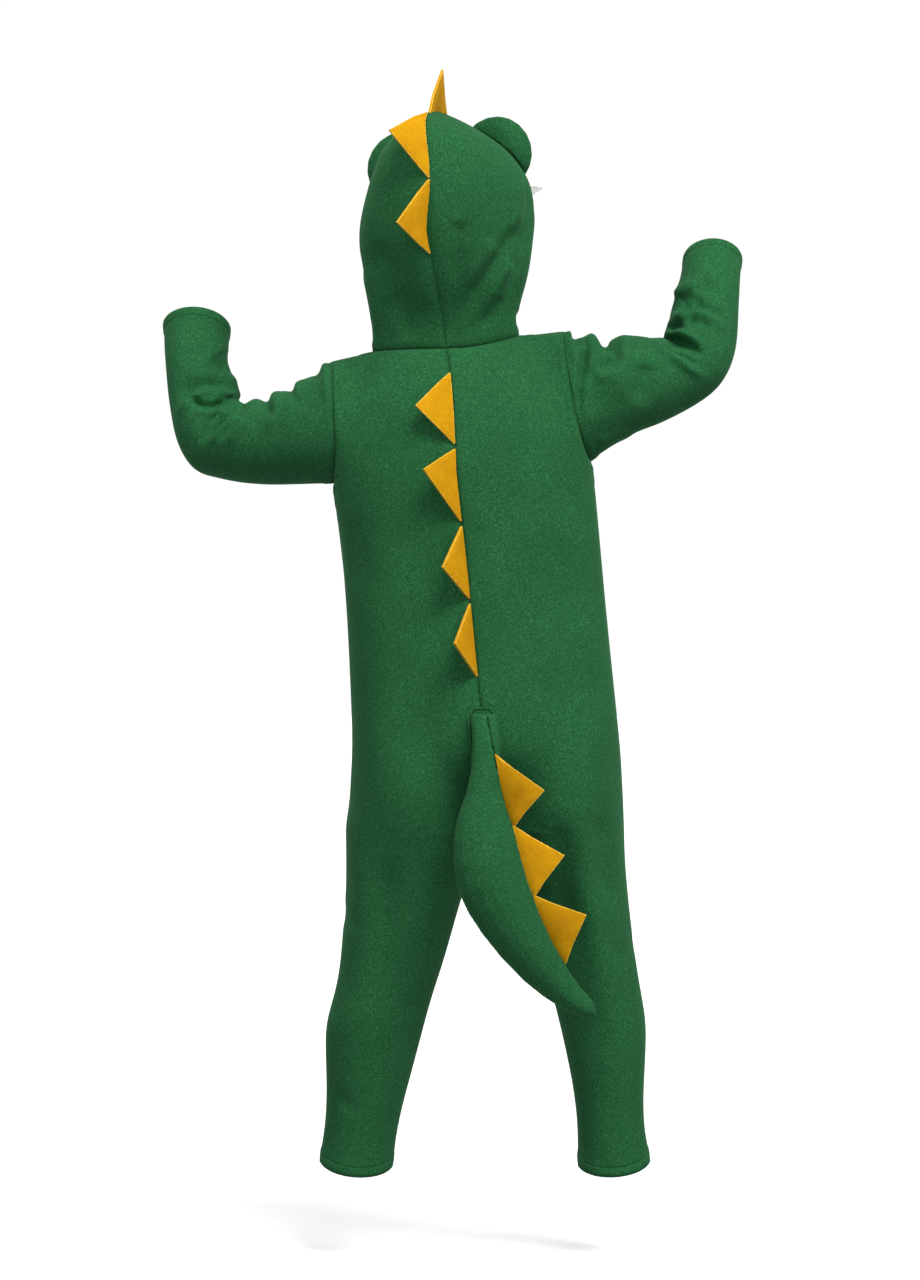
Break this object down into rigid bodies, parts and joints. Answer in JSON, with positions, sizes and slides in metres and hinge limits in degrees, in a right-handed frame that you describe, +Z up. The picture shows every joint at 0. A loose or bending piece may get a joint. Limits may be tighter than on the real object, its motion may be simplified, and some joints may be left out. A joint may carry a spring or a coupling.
{
  "type": "dragon costume",
  "caption": "Child's hooded one-piece dragon costume in green fleece, worn shape with raised arms, felt spikes, stuffed tail and eye bumps, zip front.",
  "frame": {"origin": "middle of the neck seam, between the shoulders that carry the costume", "axes": "+X to the wearer's left, +Y to the wearer's back, +Z up"},
  "size_m": [0.6176, 0.297, 1.1456],
  "materials": {
    "green_fleece": "soft napped polyester fleece, mottled mid and dark green, matt",
    "yellow_felt": "smooth stiff felt, two layers, golden yellow with a sewn edge, matt",
    "white_felt": "smooth felt, off-white, matt",
    "black_felt": "smooth felt, black, matt",
    "zip_tape": "woven zip tape with moulded teeth, dark green",
    "zip_metal": "plain nickel-coloured metal"
  },
  "bodies": {
    "costume": {"back_left": "green_fleece", "front_left": "green_fleece", "sleeve_left": "green_fleece", "hood_left": "green_fleece", "eye_left": "green_fleece", "eye_white_left": "white_felt", "eye_pupil_left": "black_felt", "fang_left_1": "white_felt", "fang_left_2": "white_felt", "fang_left_3": "white_felt", "back_right": "green_fleece", "front_right": "green_fleece", "sleeve_right": "green_fleece", "hood_right": "green_fleece", "eye_right": "green_fleece", "eye_white_right": "white_felt", "eye_pupil_right": "black_felt", "fang_right_1": "white_felt", "fang_right_2": "white_felt", "fang_right_3": "white_felt", "spike_back_1": "yellow_felt", "spike_back_2": "yellow_felt", "spike_back_3": "yellow_felt", "spike_back_4": "yellow_felt", "spike_hood_1": "yellow_felt", "spike_tail_1": "yellow_felt", "spike_hood_2": "yellow_felt", "spike_tail_2": "yellow_felt", "spike_hood_3": "yellow_felt", "spike_tail_3": "yellow_felt", "tail_welt": "green_fleece", "tail_near": "green_fleece", "tail_far": "green_fleece", "zip_tape": "zip_tape", "zip_slider": "zip_metal"},
    "pull_tab": {"zip_pull": "zip_metal"}
  },
  "joints": [
    {"name": "pull_tab_hinge", "type": "hinge", "parent": "costume", "child": "pull_tab", "pos_m": [-0.0063, -0.08357, -0.06234], "axis": [-1, 0, 0], "range_deg": [0, 150]}
  ]
}
